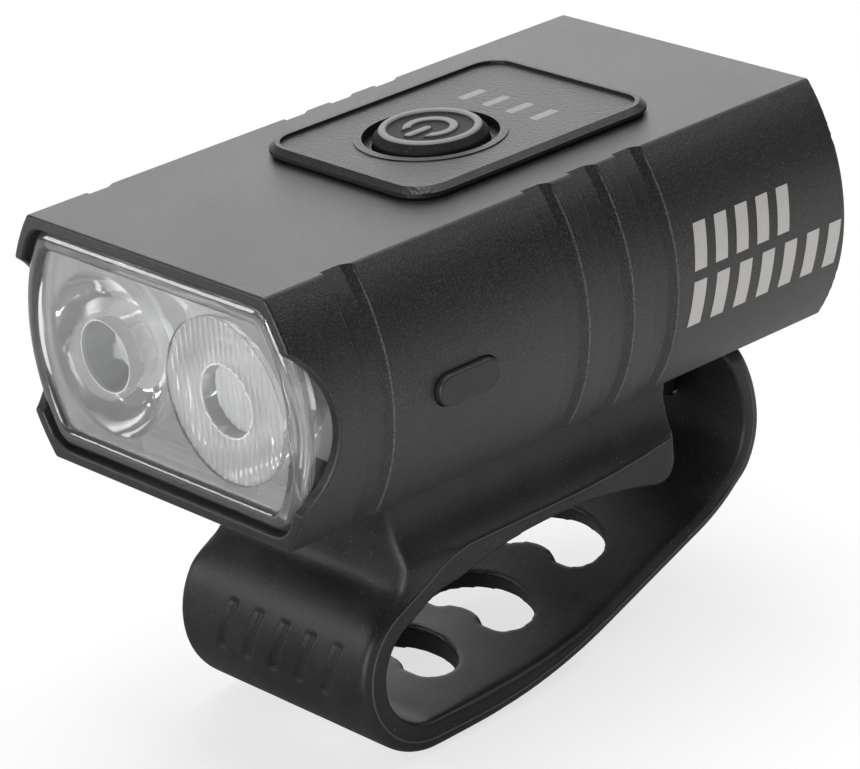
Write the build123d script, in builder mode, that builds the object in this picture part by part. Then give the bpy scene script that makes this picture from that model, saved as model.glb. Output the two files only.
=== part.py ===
"""Rechargeable bicycle headlight with a flexible handlebar strap.

Frame, in millimetres: the origin is where the top of the handlebar bears on the strap's
saddle. X runs along the handlebar, the beam shines towards -Y, and Z is up.
"""

import os
from math import atan2, cos, degrees, radians, sin, sqrt, tan

from build123d import *

os.makedirs("parts", exist_ok=True)

# Housing tube
housing_length = 73.6
housing_height = 26.1
flat_width = 36.0
side_bulge = 4.4
housing_wall = 1.3
housing_edge_round = 0.5
housing_end_round = 0.35
cavity_corner = 2.8
neck_height = 11.15
scallop_radius = 10.2
scallop_depth = 4.1
scallop_edge_round = 0.3
groove_starts = (-29.3, -3.5, 2.7, 8.9)
groove_floor = 2.4
groove_slope = 1.1
groove_depth = 0.5
groove_edge_round = 0.12
groove_crest_round = 0.45
lug_length = 8.4
lug_height = 3.6
lug_y = -16.6
lug_rise = 12.0

# General gaps
slide_fit = 0.15
seat_gap = 0.1
running_gap = 0.06

# Front lens and its two optics
lens_recess = 0.3
lens_plate = 2.4
lens_skirt = 7.0
lens_skirt_wall = 1.2
lens_rim_round = 1.2
lens_rim_width = 2.0
lens_recess_depth = 0.8
lens_recess_round = 0.65
lens_recess_corner = 1.8
optic_spacing = 18.2
optic_radius = 8.6
optic_back_radius = 4.6
optic_depth = 10.0
optic_bulge = 0.64
optic_root = 1.0
optic_rise = 12.9
front_bore_radius = 3.7
spot_bore_depth = 4.2
flood_bore_depth = 1.9
led_pocket_radius = 3.2
led_pocket_depth = 4.0
flute_count = 20
flute_pitch = 0.82
flute_radius = 0.62
flood_disc_depth = 0.15
lens_gasket_thickness = 1.0

# Light board
led_board_thickness = 1.6
led_board_side_gap = 1.5
led_board_height = 18.0
led_board_corner = 2.0
led_board_gap = 0.4
led_size = 3.45
led_base = 0.7
led_dome_radius = 1.3
led_screw_spacing = 13.0
led_screw_radius = 1.0
led_screw_head = 1.9
led_screw_head_height = 1.2
led_screw_length = 5.0

# Inner frame
frame_collar_wall = 1.4
bulkhead_thickness = 3.0
tray_clearance = 2.3
tray_thickness = 1.2
frame_side_wall = 1.2
frame_side_gap = 0.36
finger_slit = 0.8
finger_length = 16.0
rear_wall_thickness = 1.8
lug_proud = 0.7
lug_edge_round = 0.3

# Battery
battery_thickness = 10.0
battery_back_gap = 3.4
battery_round = 2.0
battery_wire_spacing = 8.0
battery_front_gap = 3.3
battery_gap = 0.2
pad_thickness = 1.0
pad_margin = 4.0
led_wire_inset = 3.0
led_wire_rise = 4.0
led_wire_back = 2.5
wire_radius = 0.6
wire_bend = 1.2

# Top panel and power button
panel_width = 25.0
panel_front = -12.15
panel_back = 21.2
panel_corner = 4.0
panel_rise = 1.25
panel_seal_thickness = 0.35
panel_seal_inset = 0.35
panel_rim = 1.15
panel_bevel = 0.55
panel_bevel_lean = 50.0
panel_dish = 0.35
panel_floor = 0.9
panel_plug_margin = 1.6
panel_skirt_wall = 1.2
button_y = 0.78
button_radius = 5.9
button_top_radius = 5.1
button_stand = 1.9
button_ring_width = 0.55
button_dish = 0.35
button_flange = 1.0
button_flange_thickness = 0.7
button_travel = 0.5
button_recess_radius = 7.0
button_ring_radius = 7.86
button_ring_rise = 0.12
symbol_radius = 2.8
symbol_line = 0.8
symbol_rise = 0.25
symbol_gap = 3.2
symbol_bar = 3.3
switch_size = 6.0
switch_height = 1.8
plunger_radius = 1.6
plunger_depth = 1.1
window_count = 4
window_pitch = 3.53
window_width = 1.1
window_length = 3.2
window_y = 11.4
indicator_led_height = 0.6

# Control board
board_thickness = 1.0
board_front_gap = 0.3
board_back_gap = 0.4
board_side_gap = 0.6
board_corner = 1.5
boss_radius = 2.0
front_boss_inset = 9.2
back_boss_inset = 6.7
board_screw_radius = 0.9
board_screw_head = 1.7
board_screw_head_height = 0.9
board_screw_length = 4.2
chip_size = (5.0, 6.0, 1.5)
chip_place = (-8.0, 8.0)
inductor_size = 6.0
inductor_height = 3.0
inductor_place = (8.0, 4.0)

# Charging socket, rear cap and port cover
socket_width = 8.94
socket_height = 3.26
socket_length = 7.3
socket_shell = 0.3
socket_tongue_width = 6.4
socket_tongue_height = 0.8
socket_back_wall = 1.0
cap_recess = 0.3
cap_thickness = 2.2
cap_collar = 3.2
cap_collar_wall = 1.8
cap_gasket_width = 1.2
cap_gasket_depth = 0.9
cap_screw_x = 13.0
cap_screw_rise = 9.0
cap_screw_radius = 1.2
cap_screw_head = 2.2
cap_screw_head_height = 1.1
cap_screw_length = 7.0
cap_screw_slot = 0.5
cap_boss_radius = 2.5
port_gap = 0.25
cover_width = 15.4
cover_above = 4.0
cover_below = 3.6
cover_thickness = 1.3
cover_recess = 0.9
cover_gap = 0.3
cover_plug_depth = 1.0
cover_plug_gap = 0.6
cover_lip = 0.3
cover_lip_height = 0.8

# Handlebar mount plate and its hook
plate_width = 20.0
plate_front = -13.5
plate_back = 15.0
plate_thickness = 2.4
plate_corner = 3.0
mount_screw_y = 7.0
mount_screw_radius = 1.5
mount_screw_head = 2.6
mount_screw_head_height = 1.7
mount_screw_bite = 2.0
hook_width = 7.6
hook_thickness = 2.0
hook_bottom = 1.25
hook_tip = 30.4
hook_root = 10.0
hook_web = 4.0
hook_lip = 0.4
hook_lip_length = 1.0

# Strap saddle, with the neck that stands on it
strap_width = 29.0
strap_thickness = 2.3
curl_thickness = 3.2
strap_outer_round = 0.9
strap_inner_round = 0.5
saddle_corner_round = 2.2
neck_back = 18.05
neck_front = -19.5
neck_blend = 3.0
saddle_crown_y = 1.2
valley_radius = 7.7
valley_rise = 6.85
valley_side = 19.96
valley_flare_start = 1.0
valley_flare_radius = 110.0
valley_flare_angle = 10.0

# Strap loop, along its outer face from the saddle round to the tail
curl_centre_y = -17.403
curl_centre_z = -9.733
curl_radius = 9.0
strand_flat = 4.7
strand_radius = 56.0
strand_angle = 21.0
strand_straight = 15.3
sweep_radius = 20.0
sweep_angle = 19.0
tail_radius = 9.5
tail_angle = 50.0
tail_lean_radius = 15.0
tail_lean_angle = 25.0
tail_gap = 0.6
tail_reach = 20.0
tail_corner = 3.8
strap_split_gap = 0.2

# Adjustment holes and the hole that goes over the hook
hole_length = 6.9
hole_width = 15.5
hole_end_radius = 2.5
hole_tongue = 1.25
hole_pitch = 11.6
hole_count = 4
first_hole_back = 14.75
hook_hole_width = 8.4
hook_hole_length = 7.4
hook_hole_gap = 0.4
hook_hole_corner = 0.8

# Places worked out from the sizes above
housing_bottom = neck_height
housing_top = housing_bottom + housing_height
housing_middle = housing_bottom + housing_height / 2
front_y = -housing_length / 2
rear_y = housing_length / 2
side_radius = ((housing_height / 2) ** 2 + side_bulge**2) / (2 * side_bulge)
side_centre = flat_width / 2 + side_bulge - side_radius
lug_z = housing_bottom + lug_rise

lens_front = front_y + lens_recess
lens_back = lens_front + lens_skirt
optic_back = lens_front + optic_depth
optic_x = optic_spacing / 2
optic_z = housing_bottom + optic_rise
collar_front = lens_back + lens_gasket_thickness
led_board_front = optic_back + led_board_gap
led_board_width = flat_width - 2 * led_board_side_gap
bulkhead_front = led_board_front + led_board_thickness
bulkhead_back = bulkhead_front + bulkhead_thickness

panel_under = housing_top - panel_floor
panel_surface = housing_top + panel_rise - panel_dish
panel_y = (panel_front + panel_back) / 2
panel_length = panel_back - panel_front
plug_width = panel_width - 2 * panel_plug_margin
plug_length = panel_length - 2 * panel_plug_margin
plug_corner = panel_corner - panel_plug_margin
flange_top = panel_under - seat_gap
flange_bottom = flange_top - button_flange_thickness
button_top = housing_top + button_stand
switch_top = flange_bottom - button_travel - 2 * seat_gap
board_top = switch_top - switch_height
board_bottom = board_top - board_thickness

cap_back = rear_y - cap_recess
cap_front = cap_back - cap_thickness
collar_tip = cap_front - cap_collar
cap_screw_z = housing_bottom + cap_screw_rise
socket_z = board_bottom - socket_height / 2
socket_back = cap_front - seat_gap
board_front_y = bulkhead_back + board_front_gap
board_back_y = collar_tip - board_back_gap
board_boss_ys = (board_front_y + front_boss_inset, board_back_y - back_boss_inset)
rear_wall_back = collar_tip - seat_gap
rear_wall_front = rear_wall_back - rear_wall_thickness

tray_bottom = housing_bottom + housing_wall + tray_clearance
frame_half = (
    side_centre
    + sqrt((side_radius - housing_wall) ** 2 - (tray_bottom - housing_middle) ** 2)
    - frame_side_gap
)
battery_bottom = tray_bottom + tray_thickness
battery_top = battery_bottom + battery_thickness
battery_front = bulkhead_back + battery_front_gap
battery_back = rear_wall_front - battery_back_gap
battery_width = 2 * (frame_half - frame_side_wall - battery_gap)
battery_length = battery_back - battery_front


def across(y):
    """Plane across the housing at one station, looking out of the front."""
    return Plane.XZ.offset(-y)


def tube_section(inset=0.0, corner=housing_edge_round):
    """The housing's cross section, shrunk by inset, with its corners rounded."""
    half = flat_width / 2
    with BuildSketch() as section:
        with BuildLine():
            Line((-half, housing_bottom), (half, housing_bottom))
            ThreePointArc(
                (half, housing_bottom),
                (half + side_bulge, housing_middle),
                (half, housing_top),
            )
            Line((half, housing_top), (-half, housing_top))
            ThreePointArc(
                (-half, housing_top),
                (-half - side_bulge, housing_middle),
                (-half, housing_bottom),
            )
        make_face()
        if inset:
            offset(amount=-inset, mode=Mode.REPLACE)
        fillet(section.vertices(), corner)
    return section.sketch


def inside_half_width(z, inset):
    """Half the tube's width at height z, measured inset from its outside."""
    return side_centre + sqrt((side_radius - inset) ** 2 - (z - housing_middle) ** 2)


def finish(builder, name):
    """Name a finished piece and write it out."""
    builder.part.label = name
    export_step(builder.part, f"parts/{name}.step")


outer_section = tube_section()
cavity_section = tube_section(housing_wall, cavity_corner)
fit_section = tube_section(housing_wall + slide_fit, cavity_corner)

# Housing: black anodised aluminium tube, open at both ends
with BuildPart() as housing:
    with BuildSketch(across(rear_y)):
        add(outer_section)
        add(cavity_section, mode=Mode.SUBTRACT)
    extrude(amount=housing_length)
    fillet(housing.edges().group_by(Axis.Y)[0], housing_end_round)
    fillet(housing.edges().group_by(Axis.Y)[-1], housing_end_round)
    # Finger-wide scallops in both sides of the front edge
    scallop_y = front_y - scallop_radius + scallop_depth
    with BuildSketch(Plane.YZ):
        with Locations((scallop_y, optic_z - seat_gap)):
            Circle(scallop_radius)
    extrude(amount=flat_width, both=True, mode=Mode.SUBTRACT)
    scallop_edges = housing.edges().filter_by(
        lambda edge: front_y < edge.center().Y < front_y + 2 * scallop_depth
        and edge.length > scallop_depth
    )
    fillet(scallop_edges, scallop_edge_round)
    # Grooves turned round each side, crisp at the front and sloped behind
    side_plane = Plane(origin=(side_centre, 0, 0), x_dir=(0, 1, 0), z_dir=(1, 0, 0))
    side_axis = Axis((side_centre, 0, housing_middle), (0, 1, 0))
    groove_crest = housing_middle + side_radius
    slope_angle = degrees(atan2(groove_depth, groove_slope))
    slope_run = Vector(groove_slope, groove_depth).normalized()
    ease = groove_crest_round * tan(radians(slope_angle / 2))
    for start in groove_starts:
        with BuildSketch(side_plane) as groove_cut:
            with BuildLine():
                front_edge = JernArc(
                    (start - groove_edge_round, groove_crest), (1, 0), groove_edge_round, -90
                )
                slope_top = Vector(start + groove_floor + groove_slope, groove_crest)
                slope_end = slope_top - ease * slope_run
                Polyline(
                    front_edge @ 1,
                    (start, groove_crest - groove_depth),
                    (start + groove_floor, groove_crest - groove_depth),
                    slope_end,
                )
                back_edge = JernArc(slope_end, slope_run, groove_crest_round, -slope_angle)
                Polyline(
                    back_edge @ 1,
                    (back_edge @ 1) + (0, 1),
                    (front_edge @ 0) + (0, 1),
                    front_edge @ 0,
                )
            make_face()
        with BuildPart(mode=Mode.PRIVATE) as groove:
            add(groove_cut.sketch)
            revolve(axis=side_axis, revolution_arc=180)
            mirror(about=Plane.YZ)
        add(groove.part, mode=Mode.SUBTRACT)
    # Slots that the inner frame's snap lugs show through
    with BuildSketch(Plane.YZ):
        with Locations((lug_y, lug_z)):
            SlotOverall(lug_length, lug_height)
    extrude(amount=flat_width, both=True, mode=Mode.SUBTRACT)
    # Window in the top for the control panel
    with BuildSketch(Plane.XY.offset(housing_top)):
        with Locations((0, panel_y)):
            RectangleRounded(
                plug_width + 2 * seat_gap, plug_length + 2 * seat_gap, plug_corner
            )
    extrude(amount=-2 * housing_wall, mode=Mode.SUBTRACT)
    # Holes in the floor for the mount screws
    with BuildSketch(Plane.XY.offset(housing_bottom)):
        with Locations((0, mount_screw_y), (0, -mount_screw_y)):
            Circle(mount_screw_radius + seat_gap)
    extrude(amount=2 * housing_wall, mode=Mode.SUBTRACT)
finish(housing, "housing")

# Front lens: one clear moulding with a spot optic and a fluted flood optic
lens_section = fit_section
with BuildPart() as front_lens:
    with BuildSketch(across(lens_front + lens_plate)):
        add(lens_section)
    extrude(amount=lens_plate)
    # Shallow recess inside a raised rim that is rounded on both sides
    with BuildSketch(across(lens_front)):
        add(tube_section(housing_wall + slide_fit + lens_rim_width, lens_recess_corner))
    extrude(amount=-lens_recess_depth, mode=Mode.SUBTRACT)
    rim_face = front_lens.faces().sort_by(Axis.Y)[0]
    fillet(rim_face.outer_wire().edges(), lens_rim_round)
    rim_face = front_lens.faces().filter_by(Axis.Y).sort_by(Axis.Y)[0]
    fillet(rim_face.inner_wires()[0].edges(), lens_recess_round)
    with BuildSketch(across(lens_back)):
        add(lens_section)
        add(tube_section(housing_wall + slide_fit + lens_skirt_wall, cavity_corner - lens_skirt_wall),
            mode=Mode.SUBTRACT)
    extrude(amount=lens_skirt - lens_plate)
    plate_back_y = lens_front + lens_plate
    optic_front = plate_back_y - optic_root
    plate_face_y = lens_front + lens_recess_depth
    for side in (-1, 1):
        axis = Axis((side * optic_x, 0, optic_z), (0, 1, 0))
        with BuildSketch(Plane(origin=(side * optic_x, 0, optic_z), x_dir=(0, 1, 0), z_dir=(1, 0, 0))):
            with BuildLine():
                Polyline(
                    (optic_front, 0), (optic_front, optic_radius), (plate_back_y, optic_radius)
                )
                ThreePointArc(
                    (plate_back_y, optic_radius),
                    (
                        (plate_back_y + optic_back) / 2,
                        (optic_radius + optic_back_radius) / 2 + optic_bulge,
                    ),
                    (optic_back, optic_back_radius),
                )
                Polyline((optic_back, optic_back_radius), (optic_back, 0), (optic_front, 0))
            make_face()
        revolve(axis=axis)
        bore_depth = spot_bore_depth if side < 0 else flood_bore_depth
        with BuildSketch(across(plate_face_y)):
            with Locations((side * optic_x, optic_z)):
                Circle(front_bore_radius)
        extrude(amount=-bore_depth, mode=Mode.SUBTRACT)
        with BuildSketch(across(optic_back)):
            with Locations((side * optic_x, optic_z)):
                Circle(led_pocket_radius)
        extrude(amount=led_pocket_depth, mode=Mode.SUBTRACT)
    # Flutes over the flood optic, one set on its face and one on the floor of its bore
    flute_xs = [optic_x + (i - (flute_count - 1) / 2) * flute_pitch for i in range(flute_count)]
    flute_lift = sqrt(flute_radius**2 - (flute_pitch / 2) ** 2)
    for floor_y, radius in (
        (plate_face_y + flood_disc_depth, optic_radius),
        (plate_face_y + flood_bore_depth, front_bore_radius),
    ):
        with BuildPart(mode=Mode.PRIVATE) as flutes:
            with Locations(*[(x, floor_y - flute_lift, optic_z) for x in flute_xs]):
                Cylinder(flute_radius, 2 * optic_radius)
            with BuildSketch(across(plate_face_y)):
                with Locations((optic_x, optic_z)):
                    Circle(radius)
            extrude(amount=-optic_depth, mode=Mode.INTERSECT)
        with BuildSketch(across(plate_face_y)):
            with Locations((optic_x, optic_z)):
                Circle(radius)
        extrude(amount=plate_face_y - floor_y, mode=Mode.SUBTRACT)
        add(flutes.part, mode=Mode.SUBTRACT)
finish(front_lens, "front_lens")

# Lens gasket: silicone ring between the lens skirt and the inner frame
with BuildPart() as lens_gasket:
    with BuildSketch(across(collar_front)):
        add(fit_section)
        add(tube_section(housing_wall + slide_fit + frame_collar_wall, cavity_corner - frame_collar_wall),
            mode=Mode.SUBTRACT)
    extrude(amount=lens_gasket_thickness)
finish(lens_gasket, "lens_gasket")

# Light board: aluminium-core board behind the optics
with BuildPart() as led_board:
    with BuildSketch(across(bulkhead_front)):
        with Locations((0, optic_z)):
            RectangleRounded(led_board_width, led_board_height, led_board_corner)
        with Locations(
            (0, optic_z - led_screw_spacing / 2), (0, optic_z + led_screw_spacing / 2)
        ):
            Circle(led_screw_radius + seat_gap, mode=Mode.SUBTRACT)
    extrude(amount=led_board_thickness)
finish(led_board, "led_board")

for name, side in (("led_left", -1), ("led_right", 1)):
    with BuildPart() as led:
        with BuildSketch(across(led_board_front)):
            with Locations((side * optic_x, optic_z)):
                Rectangle(led_size, led_size)
        extrude(amount=led_base)
        with Locations((side * optic_x, led_board_front - led_base, optic_z)):
            Sphere(led_dome_radius)
        split(bisect_by=across(led_board_front), keep=Keep.TOP)
    finish(led, name)

with BuildPart() as led_board_screws:
    for side in (-1, 1):
        place = (0, optic_z + side * led_screw_spacing / 2)
        with BuildSketch(across(led_board_front)):
            with Locations(place):
                Circle(led_screw_head)
        extrude(amount=led_screw_head_height)
        with BuildSketch(across(led_board_front)):
            with Locations(place):
                Circle(led_screw_radius)
        extrude(amount=-led_screw_length)
finish(led_board_screws, "led_board_screws")

# Inner frame: moulded carrier that slides into the tube and snaps into its side slots
frame_top = board_bottom
with BuildPart() as inner_frame:
    # Collar that presses the gasket, and the bulkhead behind the light board
    with BuildSketch(across(bulkhead_front)):
        add(fit_section)
        add(tube_section(housing_wall + slide_fit + frame_collar_wall, cavity_corner - frame_collar_wall),
            mode=Mode.SUBTRACT)
    extrude(amount=bulkhead_front - collar_front)
    with BuildSketch(across(bulkhead_back)):
        add(fit_section)
    extrude(amount=bulkhead_thickness)
    # Tray, side walls and rear wall around the battery
    tray_length = rear_wall_back - bulkhead_back
    tray_y = (rear_wall_back + bulkhead_back) / 2
    with BuildSketch(Plane.XY.offset(tray_bottom)):
        with Locations((0, tray_y)):
            Rectangle(2 * frame_half, tray_length)
    extrude(amount=tray_thickness)
    with BuildSketch(Plane.XY.offset(tray_bottom)):
        for side in (-1, 1):
            with Locations((side * (frame_half - frame_side_wall / 2), tray_y)):
                Rectangle(frame_side_wall, tray_length)
    extrude(amount=frame_top - tray_bottom)
    with BuildSketch(Plane.XY.offset(tray_bottom)):
        with Locations((0, rear_wall_back - rear_wall_thickness / 2)):
            Rectangle(2 * frame_half, rear_wall_thickness)
    extrude(amount=battery_top - tray_bottom)
    # Bosses for the control board, above the battery's edges
    with BuildSketch(Plane.XY.offset(frame_top)):
        for y in board_boss_ys:
            for side in (-1, 1):
                with Locations((side * (frame_half - boss_radius), y)):
                    Circle(boss_radius)
    extrude(amount=-(frame_top - battery_top - pad_thickness))
    # Bosses for the rear cap screws
    with BuildSketch(across(rear_wall_front)):
        for side in (-1, 1):
            with Locations((side * cap_screw_x, cap_screw_z)):
                Circle(cap_boss_radius)
    extrude(amount=-(cap_front - rear_wall_front))
    # Snap lugs that stand a little proud of the housing's side slots
    with BuildSketch(Plane.YZ):
        with Locations((lug_y, lug_z)):
            SlotOverall(lug_length - 2 * slide_fit, lug_height - 2 * slide_fit)
    lug_reach = flat_width / 2 + side_bulge + lug_proud
    extrude(amount=lug_reach, both=True)
    fillet(inner_frame.faces().sort_by(Axis.X)[0].edges(), lug_edge_round)
    fillet(inner_frame.faces().sort_by(Axis.X)[-1].edges(), lug_edge_round)
    with BuildSketch(Plane.YZ):
        with Locations((lug_y, lug_z)):
            Rectangle(2 * lug_length, 2 * lug_height)
    extrude(amount=frame_half - frame_side_wall, both=True, mode=Mode.SUBTRACT)
    # Slits that let each lug's finger spring inwards
    finger_half = lug_height / 2 + finger_slit
    finger_front = bulkhead_back
    with BuildSketch(Plane.YZ):
        for side in (-1, 1):
            with Locations(
                (finger_front + finger_length / 2, lug_z + side * finger_half)
            ):
                Rectangle(finger_length, finger_slit)
        with Locations((finger_front + finger_slit / 2, lug_z)):
            Rectangle(finger_slit, 2 * finger_half)
    extrude(amount=lug_reach, both=True, mode=Mode.SUBTRACT)
    # Screw holes and wire passages
    with BuildSketch(across(bulkhead_front)):
        for side in (-1, 1):
            with Locations((0, optic_z + side * led_screw_spacing / 2)):
                Circle(led_screw_radius)
    extrude(amount=-bulkhead_thickness, mode=Mode.SUBTRACT)
    with BuildSketch(across(cap_front)):
        for side in (-1, 1):
            with Locations((side * cap_screw_x, cap_screw_z)):
                Circle(cap_screw_radius)
    extrude(amount=cap_front - rear_wall_front, mode=Mode.SUBTRACT)
    with BuildSketch(Plane.XY.offset(frame_top)):
        for y in board_boss_ys:
            for side in (-1, 1):
                with Locations((side * (frame_half - boss_radius), y)):
                    Circle(board_screw_radius)
    extrude(amount=-board_screw_length, mode=Mode.SUBTRACT)
    led_wire_x = led_board_width / 2 - led_wire_inset
    led_wire_z = optic_z + led_wire_rise
    with BuildSketch(across(bulkhead_front)):
        for side in (-1, 1):
            with Locations((side * led_wire_x, led_wire_z)):
                Circle(wire_radius + seat_gap)
    extrude(amount=-bulkhead_thickness, mode=Mode.SUBTRACT)
finish(inner_frame, "inner_frame")

# Battery: lithium polymer pouch cell lying in the tray
battery_y = (battery_front + battery_back) / 2
with BuildPart() as battery_cell:
    with BuildSketch(across(battery_back)):
        with Locations((0, (battery_bottom + battery_top) / 2)):
            RectangleRounded(battery_width, battery_thickness, battery_round)
    extrude(amount=battery_length)
finish(battery_cell, "battery_cell")

# Foam pad that holds the cell down
with BuildPart() as battery_pad:
    with BuildSketch(Plane.XY.offset(battery_top)):
        with Locations((0, battery_y)):
            RectangleRounded(
                battery_width - 2 * pad_margin, battery_length - 2 * pad_margin, battery_round
            )
    extrude(amount=pad_thickness)
finish(battery_pad, "battery_pad")


def wire(points, name_of_wire):
    """One insulated wire along straight runs joined by small bends."""
    with BuildPart() as lead:
        with BuildLine() as route:
            FilletPolyline(*points, radius=wire_bend)
        with BuildSketch(Plane(origin=route.line @ 0, z_dir=route.line % 0)):
            Circle(wire_radius)
        sweep(path=route.line)
    lead.part.label = name_of_wire
    return lead.part


# Wires from the cell's front edge up to the control board
battery_wire_x = battery_wire_spacing / 2
battery_wire_y = (battery_front + bulkhead_back) / 2
battery_wire_z = battery_top - battery_thickness / 4
with BuildPart() as battery_leads:
    for side in (-1, 1):
        add(
            wire(
                [
                    (side * battery_wire_x, battery_front, battery_wire_z),
                    (side * battery_wire_x, battery_wire_y, battery_wire_z),
                    (side * battery_wire_x, battery_wire_y, board_bottom),
                ],
                "battery_wire",
            )
        )
finish(battery_leads, "battery_leads")

# Wires from the light board, through the bulkhead, up to the control board
led_wire_y = bulkhead_back + led_wire_back
with BuildPart() as led_leads:
    for side in (-1, 1):
        add(
            wire(
                [
                    (side * led_wire_x, bulkhead_front, led_wire_z),
                    (side * led_wire_x, led_wire_y, led_wire_z),
                    (side * led_wire_x, led_wire_y, board_bottom),
                ],
                "led_wire",
            )
        )
finish(led_leads, "led_leads")

# Control board under the panel
board_half = inside_half_width(board_top, housing_wall) - board_side_gap
board_y = (board_front_y + board_back_y) / 2
with BuildPart() as control_board:
    with BuildSketch(Plane.XY.offset(board_bottom)):
        with Locations((0, board_y)):
            RectangleRounded(2 * board_half, board_back_y - board_front_y, board_corner)
        for y in board_boss_ys:
            for side in (-1, 1):
                with Locations((side * (frame_half - boss_radius), y)):
                    Circle(board_screw_radius + seat_gap, mode=Mode.SUBTRACT)
    extrude(amount=board_thickness)
finish(control_board, "control_board")

with BuildPart() as control_board_screws:
    for y in board_boss_ys:
        for side in (-1, 1):
            place = (side * (frame_half - boss_radius), y)
            with BuildSketch(Plane.XY.offset(board_top)):
                with Locations(place):
                    Circle(board_screw_head)
            extrude(amount=board_screw_head_height)
            with BuildSketch(Plane.XY.offset(board_top)):
                with Locations(place):
                    Circle(board_screw_radius)
            extrude(amount=-board_screw_length)
finish(control_board_screws, "control_board_screws")

with BuildPart() as charge_chip:
    with BuildSketch(Plane.XY.offset(board_bottom)):
        with Locations(chip_place):
            Rectangle(chip_size[0], chip_size[1])
    extrude(amount=-chip_size[2])
finish(charge_chip, "charge_chip")

with BuildPart() as driver_inductor:
    with BuildSketch(Plane.XY.offset(board_bottom)):
        with Locations(inductor_place):
            RectangleRounded(inductor_size, inductor_size, inductor_size / 4)
    extrude(amount=-inductor_height)
finish(driver_inductor, "driver_inductor")

window_xs = [(i - (window_count - 1) / 2) * window_pitch for i in range(window_count)]
with BuildPart() as indicator_leds:
    with BuildSketch(Plane.XY.offset(board_top)):
        with Locations(*[(x, window_y) for x in window_xs]):
            Rectangle(window_width, window_length / 2)
    extrude(amount=indicator_led_height)
finish(indicator_leds, "indicator_leds")

# Push switch under the power button
with BuildPart() as switch_body:
    with BuildSketch(Plane.XY.offset(board_top)):
        with Locations((0, button_y)):
            Rectangle(switch_size, switch_size)
    extrude(amount=switch_height)
    with BuildSketch(Plane.XY.offset(switch_top)):
        with Locations((0, button_y)):
            Circle(plunger_radius + running_gap)
    extrude(amount=-plunger_depth, mode=Mode.SUBTRACT)
finish(switch_body, "switch_body")

with BuildPart() as switch_plunger:
    plunger_bottom = switch_top - plunger_depth + button_travel + seat_gap
    with BuildSketch(Plane.XY.offset(plunger_bottom)):
        with Locations((0, button_y)):
            Circle(plunger_radius)
    extrude(amount=flange_bottom - plunger_bottom)
finish(switch_plunger, "switch_plunger")

# Power button: soft black cap with a dished top and a raised standby symbol
button_axis = Axis((0, button_y, 0), (0, 0, 1))
dish_radius = button_top_radius - button_ring_width
with BuildPart() as power_button:
    with BuildSketch(across(button_y)):
        with BuildLine():
            Polyline(
                (0, flange_bottom),
                (button_radius + button_flange, flange_bottom),
                (button_radius + button_flange, flange_top),
                (button_radius, flange_top),
                (button_radius, housing_top + button_stand / 2),
                (button_top_radius, button_top),
                (dish_radius, button_top),
                (dish_radius - button_dish / 2, button_top - button_dish),
                (0, button_top - button_dish),
                close=True,
            )
        make_face()
    revolve(axis=button_axis)
    with BuildSketch(Plane.XY.offset(button_top - button_dish)):
        with Locations((0, button_y)):
            Circle(symbol_radius)
            Circle(symbol_radius - symbol_line, mode=Mode.SUBTRACT)
        with Locations((0, button_y - symbol_radius)):
            Rectangle(symbol_gap, symbol_radius, mode=Mode.SUBTRACT)
        with Locations((0, button_y - symbol_bar / 2)):
            SlotOverall(symbol_bar, symbol_line, rotation=90)
    extrude(amount=symbol_rise)
finish(power_button, "power_button")

# Control panel: moulded bezel that plugs through the housing's top
with BuildPart() as top_panel:
    with BuildSketch(Plane.XY.offset(housing_top + panel_seal_thickness)):
        with Locations((0, panel_y)):
            RectangleRounded(panel_width, panel_length, panel_corner)
    extrude(amount=panel_rise - panel_seal_thickness - panel_bevel)
    with BuildSketch(Plane.XY.offset(housing_top + panel_rise - panel_bevel)):
        with Locations((0, panel_y)):
            RectangleRounded(panel_width, panel_length, panel_corner)
    extrude(amount=panel_bevel, taper=panel_bevel_lean)
    with BuildSketch(Plane.XY.offset(panel_under)):
        with Locations((0, panel_y)):
            RectangleRounded(plug_width, plug_length, plug_corner)
    extrude(amount=housing_top + panel_seal_thickness - panel_under)
    with BuildSketch(Plane.XY.offset(board_top)):
        with Locations((0, panel_y)):
            RectangleRounded(plug_width, plug_length, plug_corner)
            RectangleRounded(
                plug_width - 2 * panel_skirt_wall,
                plug_length - 2 * panel_skirt_wall,
                plug_corner - panel_skirt_wall / 2,
                mode=Mode.SUBTRACT,
            )
    extrude(amount=panel_under - board_top)
    with BuildSketch(Plane.XY.offset(housing_top + panel_rise)):
        with Locations((0, panel_y)):
            RectangleRounded(
                panel_width - 2 * panel_rim,
                panel_length - 2 * panel_rim,
                panel_corner - panel_rim,
            )
    extrude(amount=-panel_dish, mode=Mode.SUBTRACT)
    with BuildSketch(Plane.XY.offset(panel_surface)):
        with Locations((0, button_y)):
            Circle(button_ring_radius)
    extrude(amount=button_ring_rise)
    with BuildSketch(Plane.XY.offset(panel_surface + button_ring_rise)):
        with Locations((0, button_y)):
            Circle(button_recess_radius)
    extrude(amount=-(panel_surface + button_ring_rise - housing_top), mode=Mode.SUBTRACT)
    with BuildSketch(Plane.XY.offset(housing_top)):
        with Locations((0, button_y)):
            Circle(button_radius + slide_fit)
    extrude(amount=-panel_floor, mode=Mode.SUBTRACT)
    with BuildSketch(Plane.XY.offset(panel_surface)):
        with Locations(*[(x, window_y) for x in window_xs]):
            Rectangle(window_width, window_length)
    extrude(amount=-(panel_surface - panel_under), mode=Mode.SUBTRACT)
finish(top_panel, "top_panel")

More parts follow.
